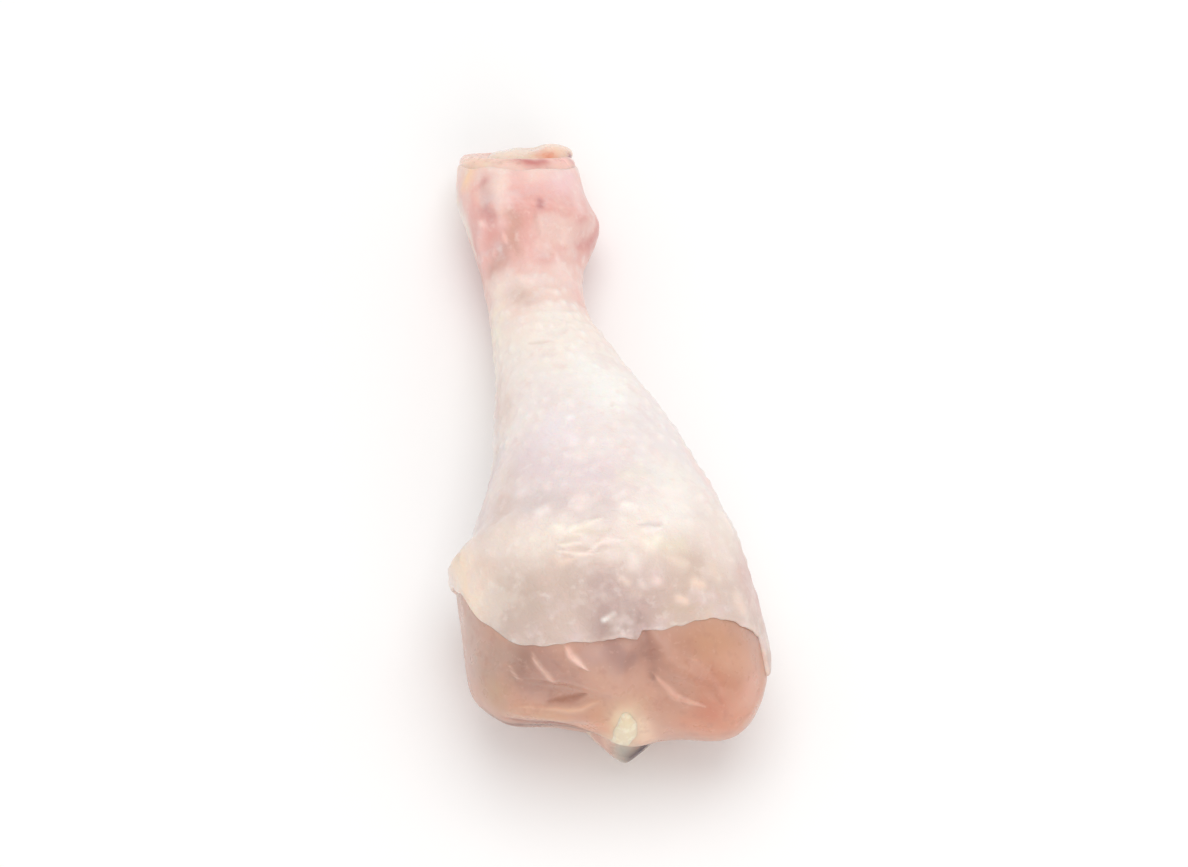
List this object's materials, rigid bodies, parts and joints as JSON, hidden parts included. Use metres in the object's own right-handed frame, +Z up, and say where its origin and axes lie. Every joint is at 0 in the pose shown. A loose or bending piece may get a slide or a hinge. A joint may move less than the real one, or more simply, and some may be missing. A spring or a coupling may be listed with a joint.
{
  "type": "raw chicken drumstick",
  "caption": "Raw chicken drumstick lying on its side: a club-shaped leg with pale skin, bare muscle and cartilage at the knee end, and a knuckle at the ankle end.",
  "frame": {"origin": "on the surface that the drumstick lies on, under the middle of its length and width", "axes": "+Y along the leg from the knee end to the ankle end, +X to the right seen from the knee end, +Z up"},
  "size_m": [0.0573, 0.1326, 0.0453],
  "materials": {
    "skin": "moist, satin",
    "muscle": "moist, glossy",
    "bone": "moist cartilage, glossy",
    "ligament": "moist, satin"
  },
  "bodies": {
    "root": {"skin": "skin", "muscle": "muscle", "bone": "bone", "ligament": "ligament"}
  },
  "joints": []
}
